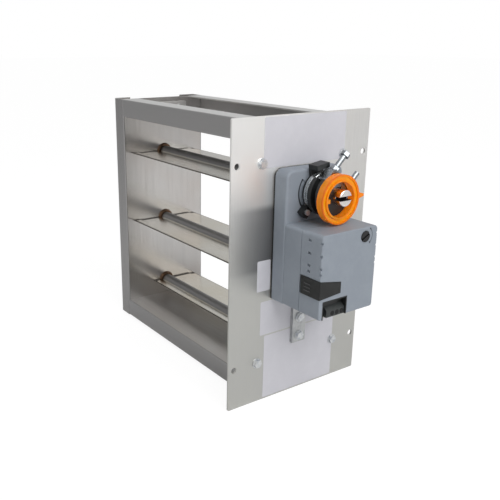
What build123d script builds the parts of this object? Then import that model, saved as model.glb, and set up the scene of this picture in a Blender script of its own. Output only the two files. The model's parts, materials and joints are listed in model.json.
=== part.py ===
"""Volume control damper: a square duct frame, three parallel blades on through shafts, a
crank and tie bar linkage inside the right-hand channel, and an electric actuator clamped to
the top shaft.  Origin: centre of the duct opening, half-way through its depth.  +X runs along
the shafts towards the actuator, +Y along the air flow, +Z up.  Sizes are in millimetres."""
import os
from math import acos, cos, pi, radians, sin, sqrt, tan

from build123d import *

os.makedirs("parts", exist_ok=True)

# ---- duct frame: four lipped channels
opening_width = 250.0
opening_height = 250.0
frame_depth = 120.0
frame_sheet = 1.5
flange_height = 22.0
lip_width = 22.0
bend_radius = 2.0
corner_tab_height = 16.0
corner_tab_width = 68.0
rivet_radius = 1.6
rivet_head_radius = 3.2
rivet_head_height = 1.4
rivet_spacing = 46.0
# ---- actuator plate and what holds it
plate_thickness = 2.0
plate_overhang = 31.0
plate_rise = 4.2
plate_corner_radius = 1.5
plate_hole_radius = 3.25
plate_hole_edge_y = 7.0
plate_hole_edge_z = 45.2
plate_screw_edge = 6.0
plate_screw_radius = 2.1
plate_screw_length = 12.0
washer_radius = 5.5
washer_thickness = 1.1
hex_across_flats = 8.0
hex_height = 3.4
# ---- blades, shafts and bushes
bottom_front_reach = 18.5
blade_half_chord = 47.5
blade_sheet = 1.2
blade_edge_clearance = 1.0
blade_end_clearance = 1.0
edge_joggle = 1.25
edge_strip = 7.0
joggle_run = 2.0
shaft_radius = 6.0
spindle_radius = 8.0
spindle_reach = 60.0
spindle_slot_width = 3.6
spindle_slot_depth = 6.0
running_clearance = 0.05
fixed_clearance = 0.05
bush_flange_radius = 10.8
bush_flange_thickness = 3.0
bush_hub_radius = 8.5
bush_hub_stand_out = 2.5
bush_clip_radius = 11.5
bush_clip_thickness = 1.0
plate_bush_radius = 10.5
plate_bush_flange_radius = 14.0
plate_bush_flange_thickness = 1.5
notch_clearance = 0.6
strap_width = 16.0
strap_foot = 9.0
strap_spacing = 90.0
shaft_clip_radius = 9.5
shaft_clip_thickness = 1.0
shaft_stand_out = 8.0
# ---- cranks and tie bar
side_gap = 0.3
crank_radius = 26.0
crank_rest_angle = 225.0
crank_hub_radius = 9.5
crank_hub_length = 8.0
crank_thickness = 3.0
crank_eye_radius = 7.0
crank_pin_radius = 3.0
crank_pin_head_radius = 5.0
crank_pin_head_thickness = 1.5
crank_screw_radius = 2.5
crank_screw_reach = 13.0
crank_screw_flats = 7.0
tie_bar_gap = 0.7
tie_bar_width = 14.0
tie_bar_thickness = 3.0
# ---- actuator housing
actuator_offset_y = -1.5
actuator_width = 74.0
actuator_drop = 113.3
actuator_rise = 23.5
housing_corner_radius = 8.0
housing_foot_radius = 3.0
housing_edge_radius = 2.5
housing_wall = 2.0
back_plate_thickness = 2.2
gear_housing_depth = 17.1
motor_housing_depth = 23.3
front_cover_depth = 28.5
box_drop = 28.0
box_step = 0.4
box_corner_radius = 4.0
cover_edge_radius = 1.2
seam_groove = 0.5
# ---- anti-rotation strap
holder_width = 18.0
holder_depth = 4.0
holder_sheet = 1.2
holder_tongue = 14.8
holder_reach = 56.6
holder_screw_drops = (27.7, 48.8)
# ---- clamp on the spindle, measured outwards from the plate
sleeve_radius = 14.0
stop_ring_start = 20.0
stop_ring_thickness = 3.0
stop_ring_radius = 19.0
stop_finger_angle = 99.0
stop_finger_half_width = 8.0
stop_finger_length = 12.6
stop_finger_thickness = 4.8
stop_finger_outer_radius = 29.6
clamp_disc_radius = 20.4
clamp_disc_thickness = 7.0
clamp_rim_groove_depth = 1.4
clamp_rim_groove_width = 1.6
clamp_rim_chamfer = 0.5
clamp_body_radius = 22.0
clamp_body_length = 16.0
clamp_direction = 45.0
jaw_radius = 25.5
jaw_half_width = 19.5
jaw_start = 3.5
jaw_gap = 0.8
jaw_seat = 18.5
jaw_level = 3.0
jaw_thickness = 12.0
bolt_rod_radius = 2.75
bolt_leg_offset = 13.5
bolt_leg_reaches = (41.0, 38.0)
bolt_clearance = 0.3
bolt_level = 8.0
nut_across_flats = 8.2
nut_height = 4.0
# ---- indicator ring
ring_radius = 24.4
ring_bore_radius = 17.4
ring_width = 8.0
ring_drop = 2.4
ring_rim = 1.8
ring_recess = 1.5
ring_nub_half_width = 2.0
ring_pointer_tip = 1.2
ring_pointer_reach = 35.0
ring_pointer_half_width = 4.2
ring_nub_reach = 14.2
# ---- adjustable end stop
groove_inner_radius = 18.2
groove_outer_radius = 23.8
groove_depth = 1.2
groove_start_angle = 143.0
groove_end_angle = 236.0
stop_block_angle = 226.0
stop_block_inner_radius = 20.4
stop_block_outer_radius = 30.0
stop_block_half_width = 4.5
stop_block_height = 7.0
stop_screw_radius = 1.5
stop_screw_head_radius = 2.9
stop_screw_head_height = 1.8
# ---- gear train
output_module = 1.25
output_teeth = 48
idler_pinion_teeth = 12
idler_module = 1.0
idler_wheel_teeth = 40
motor_teeth = 10
gear_backlash = 0.16
gear_addendum = 0.8
gear_dedendum = 1.1
pressure_angle = 20.0
sector_start_angle = -190.0
sector_end_angle = -80.0
sector_hub_radius = 20.0
sleeve_start = 0.4
output_gear_start = 4.0
output_gear_width = 6.0
idler_wheel_start = 11.2
idler_wheel_width = 4.0
idler_axle_radius = 2.0
motor_radius = 14.0
motor_length = 34.0
motor_shaft_radius = 1.5
motor_shaft_reach = 12.0
motor_boss_radius = 2.2
# ---- controls on the front cover
knob_offset_y = 18.2
knob_below_top = 9.4
knob_radius = 5.6
knob_proud = 0.8
knob_depth = 4.0
knob_flange_radius = 6.6
knob_flange_thickness = 1.4
knob_slot_width = 1.8
knob_slot_depth = 1.6
knob_slot_angle = 28.0
control_clearance = 0.3
button_right = -11.0
button_above_foot = 21.8
button_left_height = 18.6
button_right_height = 11.2
button_right_rise = 2.4
button_wall = 2.4
button_proud = 0.4
button_back_gap = 2.7
button_clearance = 0.15
button_edge_radius = 1.2
button_rib_height = 0.4
button_rib_width = 1.0
button_rib_span = (4.5, 13.5)
button_ribs = (4.6, 8.2, 11.8)
button_flange_y = (-28.0, -14.0)
button_flange_margin = 2.2
button_flange_thickness = 1.4
recess_span_y = (-33.8, -1.0)
recess_height = 19.2
recess_depth = 6.0
terminal_block_depth = 16.0
terminal_lining = 1.2
terminal_hole_radius = 1.9
terminal_hole_pitch = 6.2
terminal_hole_depth = 5.0
terminal_hole_above_foot = 3.8
terminal_hole_first = -16.7
notch_below_top = (7.9, 20.5, 32.7, 38.6)
notch_depths = (12.0, 28.5)
notch_size = (4.0, 1.4, 2.4)
board_thickness = 1.6
board_depth = 15.0
board_margin = 3.0
board_above_foot = 21.8
post_radius = 2.5
post_places = ((-30.0, 8.5), (29.0, 20.5), (-30.0, 36.5), (29.0, 58.5))

# ---- places that follow from the sizes above
inner_x = opening_width / 2
web_x = inner_x + frame_sheet
lip_x = inner_x + flange_height
plate_x = lip_x + plate_thickness
inner_z = opening_height / 2
frame_z = inner_z + flange_height
top_shaft_z = inner_z - blade_half_chord - blade_edge_clearance
bottom_shaft_z = bottom_front_reach + blade_edge_clearance - inner_z
shaft_heights = [top_shaft_z, (top_shaft_z + bottom_shaft_z) / 2, bottom_shaft_z]
plate_width = frame_depth + 2 * plate_overhang
plate_height = 2 * (frame_z + plate_rise)
plate_hole_spacing_y = plate_width - 2 * plate_hole_edge_y
plate_hole_spacing_z = plate_height - 2 * plate_hole_edge_z
plate_screw_spacing_y = frame_depth - 2 * plate_screw_edge
hub_start_x = web_x + bush_hub_stand_out + side_gap
crank_end_x = hub_start_x + crank_hub_length
tie_bar_x = crank_end_x + tie_bar_gap
blade_end_x = inner_x - blade_end_clearance
gear_start_x = plate_x + back_plate_thickness
gear_end_x = gear_start_x + gear_housing_depth
box_end_x = gear_end_x + motor_housing_depth
cover_end_x = box_end_x + front_cover_depth
spindle_end_x = plate_x + spindle_reach
idler_z = top_shaft_z - output_module * (output_teeth + idler_pinion_teeth) / 2
motor_z = idler_z - idler_module * (idler_wheel_teeth + motor_teeth) / 2
clamp_disc_x = plate_x + stop_ring_start + stop_ring_thickness
clamp_body_x = clamp_disc_x + clamp_disc_thickness
ring_x = clamp_body_x + clamp_body_length
ring_z = top_shaft_z - ring_drop
bolt_x = clamp_body_x + bolt_level
bolt_bend_centre = bolt_leg_offset - bolt_rod_radius - spindle_radius
actuator_left = actuator_offset_y - actuator_width / 2
actuator_top = top_shaft_z + actuator_rise
actuator_bottom = top_shaft_z - actuator_drop
box_top = top_shaft_z - box_drop
holder_top = actuator_bottom + holder_tongue
holder_bottom = actuator_bottom - holder_reach
holder_screw_heights = [actuator_bottom - drop for drop in holder_screw_drops]
knob_position = (knob_offset_y, box_top - knob_below_top)
button_bottom = actuator_bottom + button_above_foot
button_left_span = (button_bottom, button_bottom + button_left_height)
button_right_span = (button_bottom + button_right_rise,
                     button_bottom + button_right_rise + button_right_height)
button_flange_z = (button_left_span[0] - button_flange_margin,
                   button_left_span[1] + button_flange_margin)
recess_top = actuator_bottom + recess_height
holder_slot_half = holder_width / 2 + control_clearance
holder_shoulder = actuator_bottom - side_gap
board_x = box_end_x + board_depth
button_x = box_end_x + button_back_gap
terminal_x = cover_end_x - terminal_block_depth
stop_block_middle = (stop_block_inner_radius + stop_block_outer_radius) / 2
stop_y = cos(radians(stop_block_angle))
stop_z = sin(radians(stop_block_angle))
stop_screw_place = (stop_block_middle * stop_y, top_shaft_z + stop_block_middle * stop_z)


def section(x):
    """Plane across the shafts at x: its own x runs along +Y, its own y along +Z."""
    return Plane(origin=(x, 0, 0), x_dir=(0, 1, 0), z_dir=(1, 0, 0))


def keep(builder, name):
    """Label a finished piece and write its STEP file."""
    builder.part.label = name
    export_step(builder.part, f"parts/{name}.step")


def rod(x_from, x_to, radius, y=0.0, z=0.0, mode=Mode.ADD):
    """Round rod or bore along X, drawn into the part that is open."""
    with BuildSketch(section(x_from)) as disc:
        with Locations((y, z)):
            Circle(radius)
    extrude(disc.sketch, amount=x_to - x_from, mode=mode)


def block(x_span, y_span, z_span, mode=Mode.ADD):
    """Box between the given limits, drawn into the part that is open."""
    with Locations(tuple(sum(span) / 2 for span in (x_span, y_span, z_span))):
        Box(x_span[1] - x_span[0], y_span[1] - y_span[0], z_span[1] - z_span[0], mode=mode)


# ---- frame ----------------------------------------------------------------------------------
def lipped_channel(plane, length):
    """Roll-formed C channel; the plane's own y points away from the duct."""
    with BuildPart() as channel:
        with BuildSketch(plane):
            RectangleRounded(frame_depth, flange_height, bend_radius)
            RectangleRounded(frame_depth - 2 * frame_sheet, flange_height - 2 * frame_sheet,
                             bend_radius - frame_sheet, mode=Mode.SUBTRACT)
            with Locations((0, flange_height / 2)):
                Rectangle(frame_depth - 2 * lip_width, 4 * frame_sheet, mode=Mode.SUBTRACT)
        extrude(amount=length)
    return channel.part


rivet_z = inner_z + frame_sheet + corner_tab_height / 2
rivet_places = [(y, z) for y in (-rivet_spacing / 2, rivet_spacing / 2) for z in (-rivet_z, rivet_z)]
screw_places = [(y, z) for y in (-plate_screw_spacing_y / 2, plate_screw_spacing_y / 2)
                for z in (-plate_hole_spacing_z / 2, plate_hole_spacing_z / 2)]

for name, side in (("left_channel", -1), ("right_channel", 1)):
    channel_plane = Plane(origin=(side * (inner_x + flange_height / 2), 0, side * frame_z),
                          x_dir=(0, 1, 0), z_dir=(0, 0, -side))
    with BuildPart() as side_channel:
        add(lipped_channel(channel_plane, 2 * frame_z))
        with BuildSketch(section(side * inner_x)):
            with Locations(*[(0, z) for z in shaft_heights]):
                Circle(bush_hub_radius + fixed_clearance)
            with Locations(*rivet_places):
                Circle(rivet_radius + fixed_clearance)
        extrude(amount=side * frame_sheet, mode=Mode.SUBTRACT)
        if side > 0:
            with BuildSketch(section(lip_x)):
                with Locations(*screw_places):
                    Circle(plate_screw_radius + fixed_clearance)
            extrude(amount=-frame_sheet, mode=Mode.SUBTRACT)
    keep(side_channel, name)

for name, side in (("bottom_channel", -1), ("top_channel", 1)):
    channel_plane = Plane(origin=(-side * inner_x, 0, side * (inner_z + flange_height / 2)),
                          x_dir=(0, 1, 0), z_dir=(side, 0, 0))
    with BuildPart() as cross_channel:
        add(lipped_channel(channel_plane, opening_width))
        for end in (-1, 1):
            with BuildSketch(section(end * inner_x)):
                with Locations((0, side * (inner_z + corner_tab_height / 2))):
                    RectangleRounded(corner_tab_width, corner_tab_height, bend_radius)
            extrude(amount=-end * frame_sheet)
            with BuildSketch(section(end * inner_x)):
                with Locations(*[(y, z) for y, z in rivet_places if z * side > 0]):
                    Circle(rivet_radius + fixed_clearance)
            extrude(amount=-end * frame_sheet, mode=Mode.SUBTRACT)
    keep(cross_channel, name)

with BuildPart() as corner_rivets:
    for side in (-1, 1):
        for x_from, length, radius, taper in (
                (side * (inner_x - frame_sheet), side * 2 * frame_sheet, rivet_radius, 0),
                (side * web_x, side * rivet_head_height, rivet_head_radius, 30),
                (side * (inner_x - frame_sheet), -side * rivet_head_height, rivet_head_radius, 30)):
            with BuildSketch(section(x_from)):
                with Locations(*rivet_places):
                    Circle(radius)
            extrude(amount=length, taper=taper)
keep(corner_rivets, "corner_rivets")

# ---- bushes ---------------------------------------------------------------------------------
for name, side in (("left_bushes", -1), ("right_bushes", 1)):
    with BuildPart() as bushes:
        for z in shaft_heights:
            rod(side * inner_x, side * (web_x + bush_hub_stand_out), bush_hub_radius, z=z)
            with BuildSketch(section(side * inner_x)):
                with Locations((0, z)):
                    Circle(bush_flange_radius)
            extrude(amount=-side * bush_flange_thickness, taper=20)
            rod(side * (inner_x - bush_flange_thickness), side * (web_x + bush_hub_stand_out),
                shaft_radius + running_clearance, z=z, mode=Mode.SUBTRACT)
    keep(bushes, name)

with BuildPart() as bush_clips:
    for side in (-1, 1):
        for z in shaft_heights:
            rod(side * web_x, side * (web_x + bush_clip_thickness), bush_clip_radius, z=z)
            rod(side * web_x, side * (web_x + bush_clip_thickness),
                bush_hub_radius + fixed_clearance, z=z, mode=Mode.SUBTRACT)
keep(bush_clips, "bush_clips")

# ---- actuator plate -------------------------------------------------------------------------
with BuildPart() as actuator_plate:
    with BuildSketch(section(lip_x)):
        RectangleRounded(plate_width, plate_height, plate_corner_radius)
        with GridLocations(plate_hole_spacing_y, plate_hole_spacing_z, 2, 2):
            Circle(plate_hole_radius, mode=Mode.SUBTRACT)
        with Locations(*screw_places):
            Circle(plate_screw_radius + fixed_clearance, mode=Mode.SUBTRACT)
        with Locations((0, top_shaft_z)):
            Circle(plate_bush_radius + fixed_clearance, mode=Mode.SUBTRACT)
        with Locations(*[(0, z) for z in holder_screw_heights]):
            Circle(plate_screw_radius + fixed_clearance, mode=Mode.SUBTRACT)
    extrude(amount=plate_thickness)
keep(actuator_plate, "actuator_plate")

with BuildPart() as plate_bush:
    rod(lip_x, plate_x, plate_bush_radius, z=top_shaft_z)
    rod(lip_x - plate_bush_flange_thickness, lip_x, plate_bush_flange_radius, z=top_shaft_z)
    rod(lip_x - plate_bush_flange_thickness, plate_x, spindle_radius + running_clearance,
        z=top_shaft_z, mode=Mode.SUBTRACT)
keep(plate_bush, "plate_bush")


def hex_screws(seat_x, length, places):
    """Hexagon screws with a washer face on the plane x = seat_x, shanks towards -X."""
    with BuildPart() as screws:
        for y, z in places:
            rod(seat_x - length, seat_x, plate_screw_radius, y, z)
            rod(seat_x, seat_x + washer_thickness, washer_radius, y, z)
            with BuildSketch(section(seat_x + washer_thickness)):
                with Locations((y, z)):
                    RegularPolygon(hex_across_flats / 2, 6, major_radius=False)
            extrude(amount=hex_height - washer_thickness)
    return screws


keep(hex_screws(plate_x, plate_screw_length, screw_places), "plate_screws")


# ---- blade sets -----------------------------------------------------------------------------
def blade_outline(front_reach, front_step):
    """Closed outline of the rolled blade sheet with its half-round seat over the shaft."""
    half = blade_sheet / 2
    seat_in = shaft_radius + fixed_clearance
    seat_out = seat_in + blade_sheet
    top_y = sqrt(seat_out ** 2 - half ** 2)
    under_y = sqrt(seat_in ** 2 - half ** 2)
    rear_bend = blade_half_chord - edge_strip
    front_bend = front_reach - edge_strip
    rear = [(rear_bend - joggle_run, 0), (rear_bend, -edge_joggle), (blade_half_chord, -edge_joggle)]
    front = [(-front_reach, front_step), (-front_bend, front_step), (-front_bend + joggle_run, 0)]
    with BuildLine() as outline:
        Polyline(*[(y, z + half) for y, z in front], (-top_y, half))
        ThreePointArc((-top_y, half), (0, seat_out), (top_y, half))
        Polyline((top_y, half), *[(y, z + half) for y, z in rear],
                 *[(y, z - half) for y, z in reversed(rear)], (under_y, -half))
        ThreePointArc((under_y, -half), (0, seat_in), (-under_y, -half))
        Polyline((-under_y, -half), *[(y, z - half) for y, z in reversed(front)],
                 (-front_reach, front_step + half))
    return outline.line


def make_blade(z, front_reach, front_step):
    """Blade between the walls, cut back at both ends to pass the bush flanges."""
    with BuildPart() as blade:
        with BuildSketch(Plane(origin=(-blade_end_x, 0, z), x_dir=(0, 1, 0), z_dir=(1, 0, 0))):
            add(blade_outline(front_reach, front_step))
            make_face()
        extrude(amount=2 * blade_end_x)
        for side in (-1, 1):
            rod(side * (inner_x - bush_flange_thickness - notch_clearance), side * inner_x,
                bush_flange_radius + notch_clearance, z=z, mode=Mode.SUBTRACT)
    return blade


def make_straps(z):
    """Saddle straps welded under the blade that hold it on the shaft."""
    half = blade_sheet / 2
    seat_in = shaft_radius + fixed_clearance
    seat_out = seat_in + blade_sheet
    with BuildPart() as straps:
        for x in (-strap_spacing, 0, strap_spacing):
            with BuildSketch(section(x - strap_width / 2)):
                with Locations((0, z)):
                    Circle(seat_out)
                with Locations((0, z - half - blade_sheet / 2)):
                    Rectangle(2 * (seat_out + strap_foot), blade_sheet)
                with Locations((0, z)):
                    Circle(seat_in, mode=Mode.SUBTRACT)
                with Locations((0, z - half + seat_out)):
                    Rectangle(2 * seat_out, 2 * seat_out, mode=Mode.SUBTRACT)
            extrude(amount=strap_width)
    return straps


def make_crank(z):
    """Crank hub and arm on the shaft's end; the eye holds the tie bar's pin."""
    angle = radians(crank_rest_angle)
    middle = (crank_radius / 2 * cos(angle), z + crank_radius / 2 * sin(angle))
    with BuildPart() as crank:
        rod(hub_start_x, crank_end_x, crank_hub_radius, z=z)
        with BuildSketch(section(crank_end_x - crank_thickness)):
            with Locations(middle):
                SlotCenterToCenter(crank_radius, 2 * crank_eye_radius, rotation=crank_rest_angle)
        extrude(amount=crank_thickness)
        rod(hub_start_x, crank_end_x, shaft_radius + fixed_clearance, z=z, mode=Mode.SUBTRACT)
        rod(hub_start_x, crank_end_x, crank_pin_radius + fixed_clearance,
            *crank_eye(z), mode=Mode.SUBTRACT)
        with BuildSketch(crank_screw_plane(z)):
            Circle(crank_screw_radius + fixed_clearance)
        extrude(amount=crank_screw_reach, mode=Mode.SUBTRACT)
    return crank


def crank_eye(z):
    """Centre of the crank pin, as (y, z), for a shaft at height z."""
    angle = radians(crank_rest_angle)
    return crank_radius * cos(angle), z + crank_radius * sin(angle)


def crank_screw_plane(z):
    """Plane at the shaft's centre that faces away from the crank arm."""
    angle = radians(crank_rest_angle + 180)
    return Plane(origin=(hub_start_x + (crank_hub_length - crank_thickness) / 2, 0, z),
                 x_dir=(1, 0, 0), z_dir=(0, cos(angle), sin(angle)))


def make_crank_screw(z):
    """Hexagon set screw through the crank hub, its point on the shaft."""
    plane = crank_screw_plane(z)
    with BuildPart() as screw:
        with BuildSketch(plane.offset(shaft_radius)):
            Circle(crank_screw_radius)
        extrude(amount=crank_screw_reach - shaft_radius)
        with BuildSketch(plane.offset(crank_screw_reach - hex_height)):
            RegularPolygon(crank_screw_flats / 2, 6, major_radius=False, rotation=30)
        extrude(amount=hex_height)
    return screw


def make_crank_pin(z):
    """Shoulder pin riveted in the crank eye, headed outside the tie bar."""
    y_eye, z_eye = crank_eye(z)
    head_x = tie_bar_x + tie_bar_thickness + side_gap
    with BuildPart() as pin:
        rod(crank_end_x - crank_thickness, head_x, crank_pin_radius, y_eye, z_eye)
        rod(head_x, head_x + crank_pin_head_thickness, crank_pin_head_radius, y_eye, z_eye)
    return pin


def make_shaft(z, ends_at):
    """Plain round shaft from outside the left bush to its crank."""
    with BuildPart() as shaft:
        rod(-(web_x + shaft_stand_out), ends_at, shaft_radius, z=z)
    return shaft


def make_shaft_clip(z):
    """Open snap ring on the shaft outside the left bush."""
    clip_x = web_x + bush_hub_stand_out + side_gap
    with BuildPart() as clip:
        rod(-clip_x, -(clip_x + shaft_clip_thickness), shaft_clip_radius, z=z)
        rod(-clip_x, -(clip_x + shaft_clip_thickness), shaft_radius + fixed_clearance, z=z,
            mode=Mode.SUBTRACT)
        with BuildSketch(section(-clip_x)):
            with Locations((0, z + shaft_radius)):
                Rectangle(shaft_radius, 2 * shaft_radius)
        extrude(amount=-shaft_clip_thickness, mode=Mode.SUBTRACT)
    return clip


for name, z, front_reach, front_step in (
        ("top", shaft_heights[0], blade_half_chord, edge_joggle),
        ("middle", shaft_heights[1], blade_half_chord, edge_joggle),
        ("bottom", shaft_heights[2], bottom_front_reach, 0)):
    keep(make_blade(z, front_reach, front_step), f"{name}_blade")
    keep(make_straps(z), f"{name}_blade_straps")
    keep(make_shaft_clip(z), f"{name}_shaft_clip")
    keep(make_crank(z), f"{name}_crank")
    keep(make_crank_screw(z), f"{name}_crank_screw")
    keep(make_crank_pin(z), f"{name}_crank_pin")

keep(make_shaft(shaft_heights[1], crank_end_x), "middle_shaft")
keep(make_shaft(shaft_heights[2], crank_end_x), "bottom_shaft")

with BuildPart() as top_shaft:
    add(make_shaft(top_shaft_z, crank_end_x).part)
    rod(crank_end_x, spindle_end_x, spindle_radius, z=top_shaft_z)
    chamfer(top_shaft.faces().sort_by(Axis.X)[-1].edges(), 0.5)
    with BuildSketch(section(spindle_end_x)):
        with Locations((0, top_shaft_z)):
            Rectangle(2 * spindle_radius, spindle_slot_width)
    extrude(amount=-spindle_slot_depth, mode=Mode.SUBTRACT)
keep(top_shaft, "top_shaft")

with BuildPart() as tie_bar:
    bar_y, bar_top = crank_eye(shaft_heights[0])
    bar_bottom = crank_eye(shaft_heights[2])[1]
    with BuildSketch(section(tie_bar_x)):
        with Locations((bar_y, (bar_top + bar_bottom) / 2)):
            SlotCenterToCenter(bar_top - bar_bottom, tie_bar_width, rotation=90)
        with Locations(*[crank_eye(z) for z in shaft_heights]):
            Circle(crank_pin_radius + running_clearance, mode=Mode.SUBTRACT)
    extrude(amount=tie_bar_thickness)
keep(tie_bar, "tie_bar")


# ---- actuator housing -----------------------------------------------------------------------
def housing_outline(x, inset, top, top_radius, foot_radius):
    """Upright outline of the actuator with rounded corners, as a sketch across X."""
    with BuildSketch(section(x)) as outline:
        with Locations((actuator_offset_y, (top + actuator_bottom) / 2)):
            Rectangle(actuator_width - 2 * inset, top - actuator_bottom - 2 * inset)
        fillet(outline.vertices().group_by(Axis.Y)[-1], top_radius)
        fillet(outline.vertices().group_by(Axis.Y)[0], foot_radius)
    return outline.sketch


with BuildPart() as back_plate:
    extrude(housing_outline(plate_x, 0, actuator_top, housing_corner_radius, housing_foot_radius),
            amount=back_plate_thickness)
    rod(plate_x, gear_start_x, sleeve_radius + running_clearance, z=top_shaft_z,
        mode=Mode.SUBTRACT)
    block((plate_x, gear_start_x), (-holder_slot_half, holder_slot_half),
          (actuator_bottom, holder_top + control_clearance), mode=Mode.SUBTRACT)
keep(back_plate, "back_plate")

with BuildPart() as gear_housing:
    extrude(housing_outline(gear_start_x, 0, actuator_top, housing_corner_radius,
                            housing_foot_radius), amount=gear_housing_depth)
    fillet(gear_housing.faces().sort_by(Axis.X)[-1].edges(), housing_edge_radius)
    extrude(housing_outline(gear_start_x, housing_wall, actuator_top,
                            housing_corner_radius - housing_wall,
                            housing_foot_radius - housing_wall),
            amount=gear_housing_depth - housing_wall, mode=Mode.SUBTRACT)
    rod(gear_start_x, gear_end_x, sleeve_radius + running_clearance, z=top_shaft_z,
        mode=Mode.SUBTRACT)
    rod(gear_start_x, gear_end_x, motor_boss_radius, z=motor_z, mode=Mode.SUBTRACT)
    with BuildSketch(section(gear_end_x)):
        with BuildLine():
            first = radians(groove_start_angle)
            last = radians(groove_end_angle)
            middle = (first + last) / 2
            ends = [[(r * cos(a), top_shaft_z + r * sin(a)) for a in (first, middle, last)]
                    for r in (groove_inner_radius, groove_outer_radius)]
            ThreePointArc(*ends[0])
            Line(ends[0][2], ends[1][2])
            ThreePointArc(*reversed(ends[1]))
            Line(ends[1][0], ends[0][0])
        make_face()
    extrude(amount=-groove_depth, mode=Mode.SUBTRACT)
    rod(gear_start_x, gear_end_x, stop_screw_radius, *stop_screw_place, mode=Mode.SUBTRACT)
keep(gear_housing, "gear_housing")

with BuildPart() as motor_housing:
    extrude(housing_outline(gear_end_x, box_step, box_top, box_corner_radius,
                            housing_foot_radius), amount=motor_housing_depth)
    extrude(housing_outline(gear_end_x, box_step + housing_wall, box_top,
                            box_corner_radius - housing_wall,
                            housing_foot_radius - housing_wall),
            amount=motor_housing_depth, mode=Mode.SUBTRACT)
keep(motor_housing, "motor_housing")


def button_outline(x, gap):
    """Wedge outline of the gear release button, grown outwards by gap, as a sketch."""
    left = actuator_left - button_proud - gap
    with BuildSketch(section(x)) as outline:
        with BuildLine():
            Polyline((left, button_left_span[0] - gap), (button_right + gap, button_right_span[0] - gap),
                     (button_right + gap, button_right_span[1] + gap),
                     (left, button_left_span[1] + gap), close=True)
        make_face()
    return outline.sketch


with BuildPart() as front_cover:
    extrude(housing_outline(box_end_x, box_step, box_top, box_corner_radius,
                            housing_foot_radius), amount=front_cover_depth)
    fillet(front_cover.faces().sort_by(Axis.X)[-1].edges(), cover_edge_radius)
    chamfer(front_cover.faces().sort_by(Axis.X)[0].edges(), seam_groove)
    extrude(housing_outline(box_end_x, box_step + housing_wall, box_top,
                            box_corner_radius - housing_wall,
                            housing_foot_radius - housing_wall),
            amount=front_cover_depth - housing_wall, mode=Mode.SUBTRACT)
    for y, drop in post_places:
        rod(board_x + board_thickness, cover_end_x - housing_wall, post_radius, y, box_top - drop)
    extrude(button_outline(box_end_x, button_clearance), amount=front_cover_depth,
            mode=Mode.SUBTRACT)
    rod(cover_end_x - housing_wall, cover_end_x, knob_radius + running_clearance, *knob_position,
        mode=Mode.SUBTRACT)
    block((terminal_x, cover_end_x), recess_span_y, (actuator_bottom, recess_top),
          mode=Mode.SUBTRACT)
    for side in (-1, 1):
        edge = actuator_offset_y + side * (actuator_width / 2 - box_step)
        for depth in notch_depths:
            for drop in notch_below_top:
                with Locations((box_end_x + depth, edge, box_top - drop)):
                    Box(notch_size[0], 2 * notch_size[1], notch_size[2], mode=Mode.SUBTRACT)
keep(front_cover, "front_cover")

with BuildPart() as release_button:
    extrude(button_outline(button_x, 0), amount=cover_end_x + button_proud - button_x)
    fillet(release_button.faces().sort_by(Axis.X)[-1].edges().sort_by(Axis.Y)[0],
           button_edge_radius)
    block((button_x, cover_end_x + button_proud - button_wall),
          (actuator_left - button_proud + button_wall, 0), (actuator_bottom, box_top),
          mode=Mode.SUBTRACT)
    for rib in button_ribs:
        block([button_x + reach for reach in button_rib_span],
              (actuator_left - button_proud - button_rib_height, actuator_left),
              (button_left_span[0] + rib, button_left_span[0] + rib + button_rib_width))
    block((cover_end_x - housing_wall - button_flange_thickness, cover_end_x - housing_wall),
          button_flange_y, button_flange_z)
keep(release_button, "release_button")

with BuildPart() as terminal_block:
    tray_y = (recess_span_y[0] + button_clearance, recess_span_y[1] - button_clearance)
    tray_z = (actuator_bottom + box_step, recess_top - button_clearance)
    block((terminal_x, cover_end_x), tray_y, tray_z)
    block((cover_end_x - recess_depth, cover_end_x),
          (tray_y[0] + terminal_lining, tray_y[1] - terminal_lining),
          (tray_z[0], tray_z[1] - terminal_lining), mode=Mode.SUBTRACT)
    for i in range(3):
        rod(cover_end_x - recess_depth, cover_end_x - recess_depth - terminal_hole_depth,
            terminal_hole_radius, terminal_hole_first + i * terminal_hole_pitch,
            actuator_bottom + terminal_hole_above_foot, mode=Mode.SUBTRACT)
keep(terminal_block, "terminal_block")

with BuildPart() as direction_knob:
    rod(cover_end_x - knob_depth, cover_end_x + knob_proud, knob_radius, *knob_position)
    rod(cover_end_x - housing_wall - knob_flange_thickness, cover_end_x - housing_wall,
        knob_flange_radius, *knob_position)
    with BuildSketch(section(cover_end_x + knob_proud)):
        with Locations(knob_position):
            Rectangle(2 * knob_radius, knob_slot_width, rotation=knob_slot_angle)
    extrude(amount=-knob_slot_depth, mode=Mode.SUBTRACT)
keep(direction_knob, "direction_knob")

# ---- anti-rotation strap --------------------------------------------------------------------
with BuildPart() as holder_strap:
    block((plate_x, plate_x + holder_depth), (-holder_width / 2, holder_width / 2),
          (holder_bottom, holder_shoulder))
    block((plate_x, plate_x + holder_depth - holder_sheet),
          (-holder_width / 2 + holder_sheet, holder_width / 2 - holder_sheet),
          (holder_bottom + holder_sheet, holder_shoulder), mode=Mode.SUBTRACT)
    block((plate_x, plate_x + holder_depth), (-holder_width / 2, holder_width / 2),
          (holder_shoulder - holder_sheet, holder_shoulder))
    block((plate_x, gear_start_x - side_gap), (-holder_width / 2, holder_width / 2),
          (holder_shoulder, holder_top))
    for z in holder_screw_heights:
        rod(plate_x, plate_x + holder_depth, plate_screw_radius + fixed_clearance, z=z,
            mode=Mode.SUBTRACT)
keep(holder_strap, "holder_strap")

keep(hex_screws(plate_x + holder_depth, plate_screw_length, [(0, z) for z in holder_screw_heights]),
     "holder_screws")

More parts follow.
